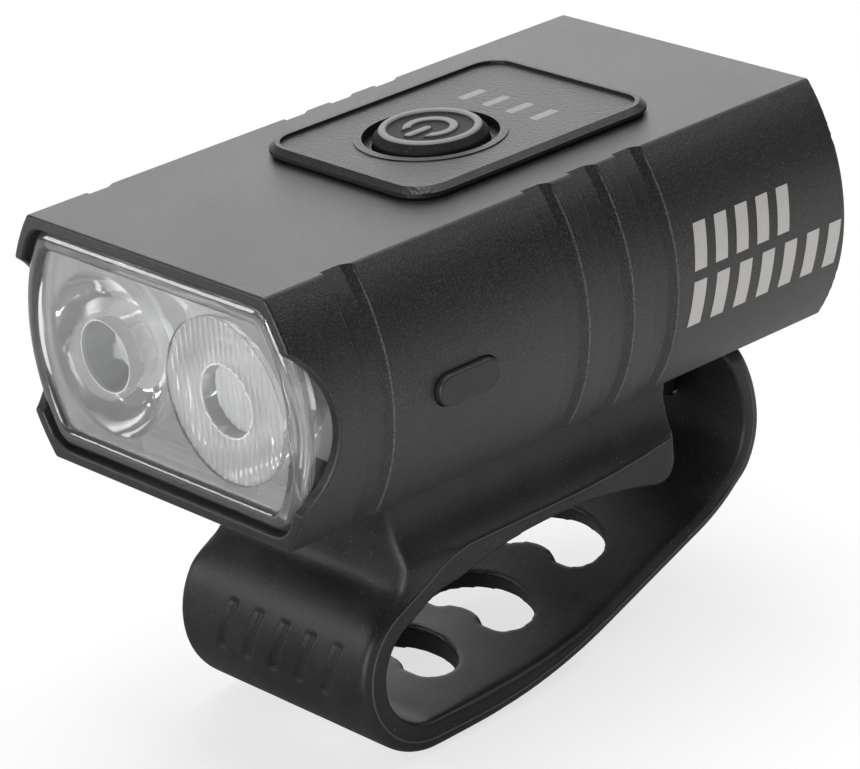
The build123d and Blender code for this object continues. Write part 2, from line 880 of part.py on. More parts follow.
# Seal between the panel and the housing, seen as a dark line round the panel
with BuildPart() as panel_seal:
    with BuildSketch(Plane.XY.offset(housing_top)):
        with Locations((0, panel_y)):
            RectangleRounded(
                panel_width - 2 * panel_seal_inset,
                panel_length - 2 * panel_seal_inset,
                panel_corner - panel_seal_inset,
            )
            RectangleRounded(plug_width, plug_length, plug_corner, mode=Mode.SUBTRACT)
    extrude(amount=panel_seal_thickness)
finish(panel_seal, "panel_seal")

# Light guides from the charge indicator lights up through the panel
guide_bottom = board_top + indicator_led_height
for number, x in enumerate(window_xs, 1):
    with BuildPart() as window:
        with BuildSketch(Plane.XY.offset(guide_bottom)):
            with Locations((x, window_y)):
                Rectangle(window_width, window_length)
        extrude(amount=panel_surface - guide_bottom)
    finish(window, f"indicator_window_{number}")

# Charging socket on the underside of the control board
with BuildPart() as charging_socket:
    with BuildSketch(across(socket_back)):
        with Locations((0, socket_z)):
            SlotOverall(socket_width, socket_height)
    extrude(amount=socket_length)
    with BuildSketch(across(socket_back)):
        with Locations((0, socket_z)):
            SlotOverall(socket_width - 2 * socket_shell, socket_height - 2 * socket_shell)
            SlotOverall(socket_tongue_width, socket_tongue_height, mode=Mode.SUBTRACT)
    extrude(amount=socket_length - socket_back_wall, mode=Mode.SUBTRACT)
finish(charging_socket, "charging_socket")

# Rear cap: moulded plug that closes the tube behind
cover_top = socket_z + cover_above
cover_bottom = socket_z - cover_below
hinge_z = cover_top - cover_thickness / 2
hinge_y = cap_back - cover_recess + seat_gap + cover_thickness / 2
with BuildPart() as rear_cap:
    with BuildSketch(across(cap_back)):
        add(tube_section(housing_wall + seat_gap, cavity_corner))
    extrude(amount=cap_thickness)
    with BuildSketch(across(cap_front)):
        add(fit_section)
        add(tube_section(housing_wall + slide_fit + cap_collar_wall, cavity_corner - cap_collar_wall),
            mode=Mode.SUBTRACT)
    extrude(amount=cap_collar)
    # Groove round the collar for its gasket
    gasket_y = (cap_front + collar_tip) / 2
    with BuildSketch(across(gasket_y + cap_gasket_width / 2)):
        add(outer_section)
        add(tube_section(housing_wall + slide_fit + cap_gasket_depth, cavity_corner - cap_gasket_depth),
            mode=Mode.SUBTRACT)
    extrude(amount=cap_gasket_width, mode=Mode.SUBTRACT)
    # Recess for the port cover and the window for the plug
    with BuildSketch(across(cap_back)):
        with Locations((0, (cover_top + cover_bottom) / 2)):
            Rectangle(cover_width + 2 * cover_gap, cover_top - cover_bottom + 2 * cover_gap)
    extrude(amount=cover_recess, mode=Mode.SUBTRACT)
    with BuildSketch(across(cap_back)):
        with Locations((0, socket_z)):
            SlotOverall(socket_width + 2 * port_gap, socket_height + 2 * port_gap)
    extrude(amount=cap_thickness, mode=Mode.SUBTRACT)
    with BuildSketch(across(cap_back)):
        for side in (-1, 1):
            with Locations((side * cap_screw_x, cap_screw_z)):
                Circle(cap_screw_radius + seat_gap)
    extrude(amount=cap_thickness, mode=Mode.SUBTRACT)
    with BuildSketch(across(cap_back)):
        for side in (-1, 1):
            with Locations((side * cap_screw_x, cap_screw_z)):
                Circle(cap_screw_head + seat_gap)
    extrude(amount=cap_screw_head_height, mode=Mode.SUBTRACT)
finish(rear_cap, "rear_cap")

with BuildPart() as rear_gasket:
    with BuildSketch(across(gasket_y + cap_gasket_width / 2)):
        add(cavity_section)
        add(tube_section(housing_wall + slide_fit + cap_gasket_depth, cavity_corner - cap_gasket_depth),
            mode=Mode.SUBTRACT)
    extrude(amount=cap_gasket_width)
finish(rear_gasket, "rear_gasket")

with BuildPart() as rear_cap_screws:
    for side in (-1, 1):
        place = (side * cap_screw_x, cap_screw_z)
        with BuildSketch(across(cap_back)):
            with Locations(place):
                Circle(cap_screw_head)
                Rectangle(cap_screw_head, cap_screw_slot, mode=Mode.SUBTRACT)
                Rectangle(cap_screw_slot, cap_screw_head, mode=Mode.SUBTRACT)
        extrude(amount=cap_screw_head_height)
        with BuildSketch(across(cap_back - cap_screw_head_height / 2)):
            with Locations(place):
                Circle(cap_screw_radius)
        extrude(amount=cap_screw_length - cap_screw_head_height / 2)
finish(rear_cap_screws, "rear_cap_screws")

# Port cover: rubber flap whose top edge is its hinge
cover_front = hinge_y - cover_thickness / 2
cover_back = hinge_y + cover_thickness / 2
with BuildPart() as port_cover:
    with BuildSketch(Plane.YZ):
        with BuildLine():
            Polyline(
                (cover_front, hinge_z),
                (cover_front, cover_bottom),
                (cover_back + cover_lip, cover_bottom),
                (cover_back + cover_lip, cover_bottom + cover_lip_height),
                (cover_back, cover_bottom + 2 * cover_lip_height),
                (cover_back, hinge_z),
            )
            ThreePointArc(
                (cover_back, hinge_z),
                (hinge_y, hinge_z + cover_thickness / 2),
                (cover_front, hinge_z),
            )
        make_face()
    extrude(amount=cover_width / 2, both=True)
    with BuildSketch(across(cover_front)):
        with Locations((0, socket_z)):
            SlotOverall(
                socket_width + 2 * port_gap - 2 * cover_plug_gap,
                socket_height + 2 * port_gap - 2 * cover_plug_gap,
            )
    extrude(amount=cover_plug_depth)
finish(port_cover, "port_cover")


def heading(turn):
    """Unit vector in the side view, turned from +Y towards +Z by turn degrees."""
    return Vector(1, 0).rotate(Axis.Z, turn)


# The saddle's arch runs smoothly into the inside of the front curl
curl_centre = Vector(curl_centre_y, curl_centre_z)
curl_inner_radius = curl_radius - curl_thickness
crown_to_curl = saddle_crown_y - curl_centre_y
saddle_radius = (crown_to_curl**2 + curl_centre_z**2 - curl_inner_radius**2) / (
    2 * (-curl_centre_z - curl_inner_radius)
)
curl_way = (curl_centre - Vector(saddle_crown_y, -saddle_radius)).normalized()
curl_middle_way = (curl_way - Vector(1, 0)).normalized()
curl_begin = curl_centre + curl_radius * curl_way
curl_inside = curl_centre + curl_inner_radius * curl_way
bend_front = curl_centre - (curl_radius, 0)

# The strand in side view: its outer face, and its inner face, which tapers from the
# thick curl to the thin strand
with BuildLine() as band_outside:
    low_curl = JernArc(bend_front - (0, strap_split_gap), heading(270), curl_radius, 90)
    flat_run = Line(low_curl @ 1, low_curl @ 1 + strand_flat * (low_curl % 1))
    climb = JernArc(flat_run @ 1, flat_run % 1, strand_radius, strand_angle)
    straight_run = Line(climb @ 1, climb @ 1 + strand_straight * (climb % 1))
    JernArc(straight_run @ 1, straight_run % 1, sweep_radius, sweep_angle)
bend_rear = band_outside.line @ 1
bend_heading = band_outside.line % 1
with BuildLine() as band_inside:
    low_inside = JernArc(low_curl @ 0 + (curl_thickness, 0), heading(270), curl_inner_radius, 90)
    thin_start = climb @ 1 + strap_thickness * heading(strand_angle + 90)
    Spline(low_inside @ 1, thin_start, tangents=(low_inside % 1, climb % 1))
    thin_run = Line(thin_start, thin_start + strand_straight * (climb % 1))
    JernArc(thin_run @ 1, thin_run % 1, sweep_radius - strap_thickness, sweep_angle)

# The tail in side view, both faces
with BuildLine() as tail_outside:
    curl = JernArc(
        bend_rear + strap_split_gap * bend_heading, bend_heading, tail_radius, tail_angle
    )
    lean = JernArc(curl @ 1, curl % 1, tail_lean_radius, tail_lean_angle)
    tail_rise = housing_bottom - tail_gap - (lean @ 1).Y
    Line(lean @ 1, lean @ 1 + (lean % 1) * (tail_rise / (lean % 1).Y))
inward = strap_thickness * bend_heading.rotate(Axis.Z, 90)
with BuildLine() as tail_inside:
    curl_within = JernArc(curl @ 0 + inward, bend_heading, tail_radius - strap_thickness, tail_angle)
    lean_within = JernArc(
        curl_within @ 1, curl_within % 1, tail_lean_radius - strap_thickness, tail_lean_angle
    )
    Line(lean_within @ 1, lean_within @ 1 + (lean % 1) * (tail_rise / (lean % 1).Y))
print("strap bends at y, z:", bend_front, bend_rear)


def strap_slab(outside, inside):
    """A stretch of strap between two side-view lines, with its long edges rounded."""
    with BuildPart() as slab:
        with BuildSketch(Plane.YZ):
            with BuildLine():
                add(outside.line)
                add(inside.line)
                Line(outside.line @ 0, inside.line @ 0)
                Line(outside.line @ 1, inside.line @ 1)
            make_face()
        extrude(amount=strap_width / 2, both=True)
        for line, edge_round in (
            (outside.line, strap_outer_round), (inside.line, strap_inner_round)
        ):
            along = slab.edges().filter_by(
                lambda edge: abs(edge.center().X) > strap_width / 2 - seat_gap
                and line.distance_to(Vector(edge.center().Y, edge.center().Z)) < seat_gap
            )
            fillet(along, edge_round)
    return slab.part


# Mount plate: stiff core screwed under the housing, with the hook for the strap's tail
plate_bottom = housing_bottom - plate_thickness
hook_top = hook_bottom + hook_thickness
with BuildPart() as mount_plate:
    with BuildSketch(Plane.XY.offset(plate_bottom)):
        with Locations((0, (plate_front + plate_back) / 2)):
            RectangleRounded(plate_width, plate_back - plate_front, plate_corner)
    extrude(amount=plate_thickness)
    with BuildSketch(Plane.YZ):
        with BuildLine():
            Polyline(
                (hook_root, plate_bottom),
                (hook_root, hook_bottom),
                (hook_tip, hook_bottom),
                (hook_tip, hook_top + hook_lip),
                (hook_tip - hook_lip_length, hook_top + hook_lip),
                (hook_tip - 2 * hook_lip_length, hook_top),
                (hook_root + hook_web, hook_top),
                (hook_root + hook_web, plate_bottom),
                close=True,
            )
        make_face()
    extrude(amount=hook_width / 2, both=True)
    with BuildSketch(Plane.XY.offset(housing_bottom)):
        with Locations((0, mount_screw_y), (0, -mount_screw_y)):
            Circle(mount_screw_radius)
    extrude(amount=-mount_screw_bite, mode=Mode.SUBTRACT)
finish(mount_plate, "mount_plate")

with BuildPart() as mount_screws:
    floor = housing_bottom + housing_wall
    with BuildSketch(Plane.XY.offset(floor)):
        with Locations((0, mount_screw_y), (0, -mount_screw_y)):
            Circle(mount_screw_head)
    extrude(amount=mount_screw_head_height)
    with BuildSketch(Plane.XY.offset(floor)):
        with Locations((0, mount_screw_y), (0, -mount_screw_y)):
            Circle(mount_screw_radius)
    extrude(amount=-(housing_wall + mount_screw_bite))
finish(mount_screws, "mount_screws")

# Strap saddle: silicone neck moulded round the mount plate, with the front curl of the strap
saddle_back_drop = sqrt(saddle_radius**2 - (neck_back - saddle_crown_y) ** 2) - saddle_radius
blend_y = neck_front - neck_blend
blend_z = curl_centre.Y + sqrt(
    (curl_radius + neck_blend) ** 2 - (blend_y - curl_centre.X) ** 2
)
blend_share = curl_radius / (curl_radius + neck_blend)
blend_foot = curl_centre + blend_share * (Vector(blend_y, blend_z) - curl_centre)
with BuildLine() as curl_outside:
    ThreePointArc(curl_begin, curl_centre + curl_radius * curl_middle_way, bend_front)
with BuildLine() as curl_inner_face:
    ThreePointArc(
        curl_inside,
        curl_centre + curl_inner_radius * curl_middle_way,
        bend_front + (curl_thickness, 0),
    )
with BuildPart() as strap_saddle:
    with BuildSketch(Plane.YZ) as neck_view:
        with BuildLine():
            Polyline(curl_inside, curl_begin, blend_foot)
            TangentArc((neck_front, blend_z), blend_foot, tangent=(0, -1))
            Polyline(
                (neck_front, blend_z),
                (neck_front, housing_bottom),
                (neck_back, housing_bottom),
                (neck_back, saddle_back_drop),
            )
            ThreePointArc((neck_back, saddle_back_drop), (saddle_crown_y, 0), curl_inside)
        make_face()
        back_corner = neck_view.vertices().group_by(Axis.X)[-1].sort_by(Axis.Y)[0]
        fillet(back_corner, saddle_corner_round)
    extrude(amount=strap_width / 2, both=True)
    # Valley moulded along each side of the neck, fading out at its back corner
    with BuildPart(mode=Mode.PRIVATE) as valley:
        with BuildLine(Plane.XY.offset(valley_rise)) as valley_path:
            Line((valley_side, blend_y), (valley_side, valley_flare_start))
            JernArc(
                (valley_side, valley_flare_start), (0, 1), valley_flare_radius, -valley_flare_angle
            )
        with BuildSketch(across(blend_y)):
            with Locations((valley_side, valley_rise)):
                Circle(valley_radius)
        sweep(path=valley_path.line)
        mirror(about=Plane.YZ)
    add(valley.part, mode=Mode.SUBTRACT)
    add(strap_slab(curl_outside, curl_inner_face))
    add(mount_plate.part, mode=Mode.SUBTRACT)
    add(mount_screws.part, mode=Mode.SUBTRACT)
finish(strap_saddle, "strap_saddle")

# Outline of one adjustment hole: round ends, a bowed back edge and a blunt tongue in front
hole_end = Vector(hole_end_radius - hole_length / 2, hole_width / 2 - hole_end_radius)
bow_drop = hole_length - hole_end_radius
bow_radius = (hole_end.Y**2 + bow_drop**2 - hole_end_radius**2) / (
    2 * (bow_drop - hole_end_radius)
)
bow_centre = Vector(hole_length / 2 - bow_radius, 0)
bow_end = bow_centre + bow_radius * (hole_end - bow_centre).normalized()
with BuildSketch() as hole_outline:
    with BuildLine():
        Line((-hole_length / 2, -hole_end.Y), (-hole_length / 2, hole_end.Y))
        ThreePointArc((-hole_length / 2, hole_end.Y), (hole_end.X, hole_width / 2), bow_end)
        ThreePointArc(bow_end, (hole_length / 2, 0), (bow_end.X, -bow_end.Y))
        ThreePointArc(
            (bow_end.X, -bow_end.Y), (hole_end.X, -hole_width / 2), (-hole_length / 2, -hole_end.Y)
        )
    make_face()
    with Locations((-hole_length / 2 - hole_tongue, 0)):
        Ellipse(2 * hole_tongue, hole_width / 4, mode=Mode.SUBTRACT)

# Strap band: the lower strand with its adjustment holes
band_wire = band_outside.wires()[0]
with BuildPart() as strap_band:
    add(strap_slab(band_outside, band_inside))
    for number in range(hole_count):
        distance = band_wire.length - first_hole_back - number * hole_pitch
        spot = band_wire.position_at(distance, position_mode=PositionMode.LENGTH)
        along = band_wire.tangent_at(distance, position_mode=PositionMode.LENGTH)
        hole_plane = Plane(
            origin=(0, spot.X, spot.Y), x_dir=(0, along.X, along.Y), z_dir=(0, along.Y, -along.X)
        )
        with BuildSketch(hole_plane):
            add(hole_outline.sketch)
        extrude(amount=2 * curl_thickness, both=True, mode=Mode.SUBTRACT)
finish(strap_band, "strap_band")

# Strap tail: the rear curl, with rounded end corners and the hole for the hook
with BuildPart() as strap_tail:
    add(strap_slab(tail_outside, tail_inside))
    with BuildSketch(across(neck_back)):
        RectangleRounded(strap_width, 2 * (housing_bottom - tail_gap), tail_corner)
        with Locations((0, -tail_corner)):
            Rectangle(strap_width, 2 * (housing_bottom - tail_gap))
    extrude(amount=-tail_reach, mode=Mode.INTERSECT)
    with BuildSketch(across(neck_back)):
        with Locations((0, hook_bottom - hook_hole_gap + hook_hole_length / 2)):
            RectangleRounded(hook_hole_width, hook_hole_length, hook_hole_corner)
    extrude(amount=-tail_reach, mode=Mode.SUBTRACT)
finish(strap_tail, "strap_tail")
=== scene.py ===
import math

import bmesh
import bpy
from mathutils import Matrix, Vector


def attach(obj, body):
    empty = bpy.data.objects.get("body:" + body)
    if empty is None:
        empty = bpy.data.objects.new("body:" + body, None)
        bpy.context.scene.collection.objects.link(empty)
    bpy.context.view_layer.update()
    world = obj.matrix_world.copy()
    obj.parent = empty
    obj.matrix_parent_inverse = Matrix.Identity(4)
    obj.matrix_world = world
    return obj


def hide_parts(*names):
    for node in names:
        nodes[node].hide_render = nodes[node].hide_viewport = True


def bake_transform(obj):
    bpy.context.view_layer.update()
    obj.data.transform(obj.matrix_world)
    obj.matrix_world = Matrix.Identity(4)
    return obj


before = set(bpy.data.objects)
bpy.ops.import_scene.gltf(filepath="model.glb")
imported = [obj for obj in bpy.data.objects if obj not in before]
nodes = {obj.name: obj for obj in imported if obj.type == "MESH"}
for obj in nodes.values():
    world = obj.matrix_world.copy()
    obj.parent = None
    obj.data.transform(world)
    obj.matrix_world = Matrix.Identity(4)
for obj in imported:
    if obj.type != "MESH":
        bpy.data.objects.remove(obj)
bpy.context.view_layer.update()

# Camera: a long lens that looks down at the light's front right corner from under half a
# metre away, slightly rolled, as in the photograph.
camera_azimuth = math.radians(49.505)
camera_elevation = math.radians(23.199)
camera_roll = math.radians(-4.92)
camera_place = Vector((0.29827, -0.25685, 0.17988))
focal_length = 174.76
film_width = 36
nearest_in_view = 0.01


def placed(name, content):
    """A new object in the scene for a camera, a mesh or a lamp."""
    made = bpy.data.objects.new(name, content)
    bpy.context.scene.collection.objects.link(made)
    return made


away = Vector((
    math.sin(camera_azimuth) * math.cos(camera_elevation),
    -math.cos(camera_azimuth) * math.cos(camera_elevation),
    math.sin(camera_elevation),
))
level = Vector((math.cos(camera_azimuth), math.sin(camera_azimuth), 0))
upward = away.cross(level)
rolled_right = level * math.cos(camera_roll) + upward * math.sin(camera_roll)
rolled_up = upward * math.cos(camera_roll) - level * math.sin(camera_roll)
camera_data = bpy.data.cameras.new("camera")
camera_data.lens = focal_length
camera_data.sensor_width = film_width
camera_data.clip_start = nearest_in_view
camera = placed("camera", camera_data)
turn = Matrix((rolled_right, rolled_up, away)).transposed().to_4x4()
camera.matrix_world = Matrix.Translation(camera_place) @ turn
bpy.context.scene.camera = camera

# Housing: one length of extruded aluminium tube, milled with scallops and grooves round both
# sides, bead-blasted and anodised black. It is finely grained, with faint drawing lines
# along it. Pale specks in its colour are painted glints of that grain, and pale lines painted
# along the edges of its grooves, where its sides bulge, are painted highlights.
groove_starts = (-0.0293, -0.0035, 0.0027, 0.0089)
groove_length = 0.0034
edge_highlight_reach = 0.00014
edge_highlight_full = 0.2 * edge_highlight_reach
side_bulge_start = 0.0181
side_bulge_full = 0.0188


class Socket:
    """One socket of a material. Arithmetic on it adds the Math nodes that work it out."""

    def __init__(self, socket):
        self.socket = socket

    def node(self, kind, settings, inputs, output=0):
        """Add a node to the same material, set it up, feed it, and return one output."""
        tree = self.socket.id_data
        made = tree.nodes.new("ShaderNode" + kind)
        for name, value in settings.items():
            setattr(made, name, value)
        for name, value in inputs.items():
            if isinstance(value, Socket):
                tree.links.new(value.socket, made.inputs[name])
            else:
                made.inputs[name].default_value = value
        return Socket(made.outputs[output])

    def maths(self, operation, first, second):
        return self.node("Math", {"operation": operation}, {0: first, 1: second})

    def __add__(self, other):
        return self.maths("ADD", self, other)

    def __radd__(self, other):
        return self.maths("ADD", other, self)

    def __sub__(self, other):
        return self.maths("SUBTRACT", self, other)

    def __rsub__(self, other):
        return self.maths("SUBTRACT", other, self)

    def __mul__(self, other):
        return self.maths("MULTIPLY", self, other)

    def __rmul__(self, other):
        return self.maths("MULTIPLY", other, self)

    def absolute(self):
        return self.maths("ABSOLUTE", self, 0.0)

    def between(self, low, high):
        """0 at low and beyond it, 1 at high and beyond it, and a straight rise between."""
        return self.node("MapRange", {}, {"Value": self, "From Min": low, "From Max": high})

    def axis(self, letter):
        """One coordinate of a position: X, Y or Z."""
        return self.node("SeparateXYZ", {}, {"Vector": self}, output=letter)

    def stretched(self, x, y, z):
        """A position squeezed or stretched along the three axes."""
        return self.node("VectorMath", {"operation": "MULTIPLY"}, {0: self, 1: (x, y, z)})

    def distance_to(self, spot):
        """How far a position is from a spot."""
        measure = {"operation": "DISTANCE"}
        return self.node("VectorMath", measure, {0: self, 1: spot}, output="Value")

    def noise(self, scale, detail=2.0, rough=0.5):
        """Cloudy noise from 0 to 1 at a position, scale counted per metre."""
        return self.node(
            "TexNoise", {}, {"Vector": self, "Scale": scale, "Detail": detail, "Roughness": rough}
        )

    def shades(self, dark, light):
        """A colour between two others, each given as three numbers or worked out."""
        ends = [end if isinstance(end, Socket) else (*end, 1.0) for end in (dark, light)]
        # 0 is the mixing factor of a Mix node, 6 and 7 are its two colours
        return self.node("Mix", {"data_type": "RGBA"}, {0: self, 6: ends[0], 7: ends[1]}, output=2)

    def bump(self, strength, depth):
        """The normal of a surface on which this is the height."""
        return self.node("Bump", {}, {"Height": self, "Strength": strength, "Distance": depth})


def surface(name, colour, **constants):
    """A new Principled material, the position on the piece, and its shader node."""
    made = bpy.data.materials.new(name)
    made.use_nodes = True
    made.diffuse_color = (*colour, 1.0)
    shader = made.node_tree.nodes["Principled BSDF"]
    shader.inputs["Base Color"].default_value = (*colour, 1.0)
    for key, value in constants.items():
        shader.inputs[key.replace("_", " ")].default_value = value
    place = made.node_tree.nodes.new("ShaderNodeTexCoord")
    return made, Socket(place.outputs["Object"]), shader


def feed(shader, **links):
    """Link worked-out sockets to a shader's own."""
    for key, value in links.items():
        shader.id_data.links.new(value.socket, shader.inputs[key.replace("_", " ")])


def dress(made, *names):
    """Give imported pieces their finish."""
    for name in names:
        nodes[name].data.materials.clear()
        nodes[name].data.materials.append(made)


anodised, at, shader = surface("black_anodised", (0.013, 0.013, 0.013), IOR=1.52)
grain = at.noise(6500, detail=3, rough=0.7)
lines = at.stretched(1, 0.03, 1).noise(5200)
cloud = at.noise(90, detail=3)
# Pale specks painted into the colour: painted glints standing in for the sparkle of the blasted
# grain
painted_glint = grain.between(0.48, 0.70)
along = at.axis("Y")
groove_edges = [start + run for start in groove_starts for run in (0, groove_length)]
# Pale lines painted along the groove edges where the sides bulge: painted highlights of edges
# catching the light
painted_edge_highlight = sum((along - edge).absolute().between(edge_highlight_reach, edge_highlight_full) for edge in groove_edges)
painted_edge_highlight = painted_edge_highlight * at.axis("X").absolute().between(side_bulge_start, side_bulge_full)
painted_edge_highlight = painted_edge_highlight * grain.between(0.35, 0.55)
# Random tone and drawing lines, plus the painted glints and the painted edge highlights
tone_and_painted_highlights = cloud * 0.04 + lines * 0.03 + painted_glint * 0.45 + painted_edge_highlight * 0.9
feed(
    shader,
    Base_Color=tone_and_painted_highlights.shades((0.001, 0.001, 0.001), (0.10, 0.096, 0.088)),
    Roughness=0.25 + 0.08 * cloud + 0.12 * grain,
    Normal=(grain + 0.2 * lines).bump(0.45, 0.00009),
)
dress(anodised, "housing")

# Side print: two rows of slanted bars on each bulged side, behind the grooves. They are
# screen printed in silver ink, which stands a few hundredths of a millimetre off the
# anodised skin.
side_radius = 0.02155
side_axis_x = 0.00085
side_axis_z = 0.0242
ink_height = 0.00003
bar_slant = 0.12
bar_columns = 3
bar_rows = 10
print_rows = (
    # first bar, bar width, gap, bars, low edge, high edge
    (0.0146, 0.0017, 0.0013, 5, 0.02415, 0.0290),
    (0.0139, 0.0018, 0.0015, 7, 0.0181, 0.0230),
)
silver_ink, at, shader = surface("silver_ink", (0.5, 0.48, 0.46), Metallic=0.35)
ink_grain = at.noise(7000)
feed(
    shader,
    Base_Color=ink_grain.shades((0.44, 0.42, 0.40), (0.58, 0.56, 0.54)),
    Roughness=0.42 + 0.12 * ink_grain,
    Normal=ink_grain.bump(0.3, 0.00003),
)


def printed_bar(target, left, right, low, high, side):
    """One slanted bar of ink wrapped on the housing's bulged side."""
    grid = {}
    for sheet, lift in enumerate((0.0, ink_height)):
        for i in range(bar_columns + 1):
            for j in range(bar_rows + 1):
                z = low + (high - low) * j / bar_rows
                y = left + (right - left) * i / bar_columns + bar_slant * (z - low)
                reach = side_radius + lift
                x = side_axis_x + math.sqrt(reach**2 - (z - side_axis_z) ** 2)
                grid[sheet, i, j] = target.verts.new((side * x, y, z))
    for i in range(bar_columns):
        for j in range(bar_rows):
            for sheet in (0, 1):
                target.faces.new([
                    grid[sheet, i, j], grid[sheet, i + 1, j],
                    grid[sheet, i + 1, j + 1], grid[sheet, i, j + 1],
                ])
    rim = [(i, 0) for i in range(bar_columns)]
    rim += [(bar_columns, j) for j in range(bar_rows)]
    rim += [(i, bar_rows) for i in range(bar_columns, 0, -1)]
    rim += [(0, j) for j in range(bar_rows, 0, -1)]
    for here, there in zip(rim, rim[1:] + rim[:1]):
        target.faces.new([grid[0, *here], grid[1, *here], grid[1, *there], grid[0, *there]])


side_print_skin = bmesh.new()
for side in (-1, 1):
    for first, width, gap, count, low, high in print_rows:
        for number in range(count):
            left = first + number * (width + gap)
            printed_bar(side_print_skin, left, left + width, low, high, side)
bmesh.ops.recalc_face_normals(side_print_skin, faces=side_print_skin.faces[:])
side_print_mesh = bpy.data.meshes.new("side_print")
side_print_skin.to_mesh(side_print_mesh)
side_print_skin.free()
side_print_mesh.materials.append(silver_ink)
side_print = placed("side_print", side_print_mesh)
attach(side_print, "light")

# Front lens: one clear polycarbonate moulding, slid into the housing's front. A flat plate
# carries a spot optic and a fluted flood optic behind it, both bored for their emitters.
# The plate and the flood optic's flutes are faintly etched, and the bores most of all.
plate_face = -0.0357
bore_end = -0.0312
spot_place = (-0.0091, 0, 0.02405)
flood_place = (0.0091, 0, 0.02405)
optic_radius = 0.0086
bore_radius = 0.0037
etch_fade = 0.0001
plate_etch = 0.08
around_spot_etch = 0.08
flute_etch = 0.10
bore_etch = 0.36
lens_clear, at, shader = surface(
    "clear_lens", (0.97, 0.98, 0.98), Roughness=0.03, IOR=1.585, Transmission_Weight=0.95
)
feed(shader, Normal=at.noise(500, detail=1).bump(0.06, 0.0001))
deep = at.axis("Y")
behind_rim = deep.between(plate_face - 3 * etch_fade, plate_face - etch_fade)
on_plate = behind_rim * deep.between(plate_face + 5 * etch_fade, plate_face + 4 * etch_fade)
in_front_view = at.stretched(1, 0, 1)
from_spot = in_front_view.distance_to(spot_place)
from_flood = in_front_view.distance_to(flood_place)
around_spot = from_spot.between(optic_radius - 2 * etch_fade, optic_radius)
on_flutes = from_flood.between(optic_radius, optic_radius - 2 * etch_fade)
in_bore = from_spot.between(bore_radius + 2 * etch_fade, bore_radius + etch_fade)
in_bore = in_bore + from_flood.between(bore_radius + 2 * etch_fade, bore_radius + etch_fade)
in_bore = in_bore * behind_rim * deep.between(bore_end + etch_fade, bore_end)
etched = on_plate * (plate_etch + around_spot_etch * around_spot + flute_etch * on_flutes)
etched = etched + bore_etch * in_bore
frost = at.node(
    "BsdfPrincipled", {}, {"Base Color": (0.88, 0.89, 0.90, 1.0), "Roughness": 0.35}
)


def mixed_shaders(share, under, over):
    """The shader under where share is 0, and the one over it where share is 1."""
    return share.node("MixShader", {}, {0: share, 1: under, 2: over})


def cover(made, mixed):
    """Use a mixed shader as a material's whole surface."""
    tree = made.node_tree
    tree.links.new(mixed.socket, tree.nodes["Material Output"].inputs["Surface"])


cover(lens_clear, mixed_shaders(etched, Socket(shader.outputs["BSDF"]), frost))
dress(lens_clear, "front_lens")

# Light board: an aluminium board under a white solder mask. Two screws hold it to the inner
# frame's bulkhead, square behind the lens's optics.
white_mask, at, shader = surface("white_board", (0.75, 0.75, 0.73))
feed(shader, Roughness=0.35 + 0.15 * at.noise(900))
dress(white_mask, "led_board")

# Emitters: yellow phosphor under clear resin. Two large ones are soldered to the light board,
# and four small ones, the charge lights, to the control board.
phosphor, at, shader = surface("led_phosphor", (0.75, 0.7, 0.5), Coat_Weight=0.6)
feed(
    shader,
    Base_Color=at.noise(4000).shades((0.7, 0.64, 0.42), (0.8, 0.76, 0.6)),
    Roughness=0.3 + 0.2 * at.noise(3000),
)
dress(phosphor, "led_left", "led_right", "indicator_leds")

# Screws and charging socket: nickel-plated steel. The screws are rolled from wire and hold
# the boards, the rear cap and the mount plate. The socket's shell is bent from sheet and
# soldered to the control board.
plated, at, shader = surface("plated_steel", (0.55, 0.55, 0.56), Metallic=1.0)
feed(shader, Roughness=0.25 + 0.2 * at.noise(2500))
dress(
    plated,
    "led_board_screws", "control_board_screws", "rear_cap_screws", "mount_screws",
    "charging_socket",
)

# Inner frame, rear cap, mount plate and switch plunger: moulded in black nylon. The frame
# slides in from behind, and its two snap lugs fill the housing's slots. The cap and the
# plate are screwed on.
moulded, at, shader = surface("black_plastic", (0.012, 0.012, 0.013))
spark = at.noise(5200, detail=3, rough=0.65)
feed(
    shader,
    Base_Color=at.noise(300).shades((0.010, 0.010, 0.011), (0.020, 0.020, 0.021)),
    Roughness=0.40 + 0.14 * spark,
    Normal=spark.bump(0.5, 0.00004),
)
dress(moulded, "inner_frame", "switch_plunger", "mount_plate", "rear_cap")

# Battery cell: a lithium polymer pouch sealed in laminated aluminium foil. It lies in the
# inner frame's tray.
foil, at, shader = surface("battery_foil", (0.7, 0.71, 0.73), Metallic=1.0)
feed(shader, Roughness=0.3 + 0.2 * at.noise(400))
dress(foil, "battery_cell")

# Battery pad: a strip of black foam, cut from sheet. It is squeezed onto the cell and keeps
# it from rattling.
foam, at, shader = surface("black_foam", (0.03, 0.03, 0.03))
feed(shader, Roughness=0.85 + 0.1 * at.noise(3000))
dress(foam, "battery_pad")

# Wires: copper strands in red plastic insulation. They run from the cell and from the light
# board up to the control board, and are soldered at both ends.
insulation, at, shader = surface("wire_red", (0.5, 0.04, 0.03))
feed(shader, Roughness=0.4 + 0.1 * at.noise(1500))
dress(insulation, "battery_leads", "led_leads")

# Control board: glass fibre under a green solder mask. It is screwed to the inner frame's
# four bosses, above the battery.
green_mask, at, shader = surface("green_board", (0.02, 0.14, 0.06))
feed(shader, Roughness=0.3 + 0.15 * at.noise(700))
dress(green_mask, "control_board")

# Charge chip, inductor and push switch: black moulded resin bodies, soldered to the control
# board.
package, at, shader = surface("chip_black", (0.03, 0.03, 0.03))
feed(shader, Roughness=0.5 + 0.15 * at.noise(2500))
dress(package, "charge_chip", "driver_inductor", "switch_body")
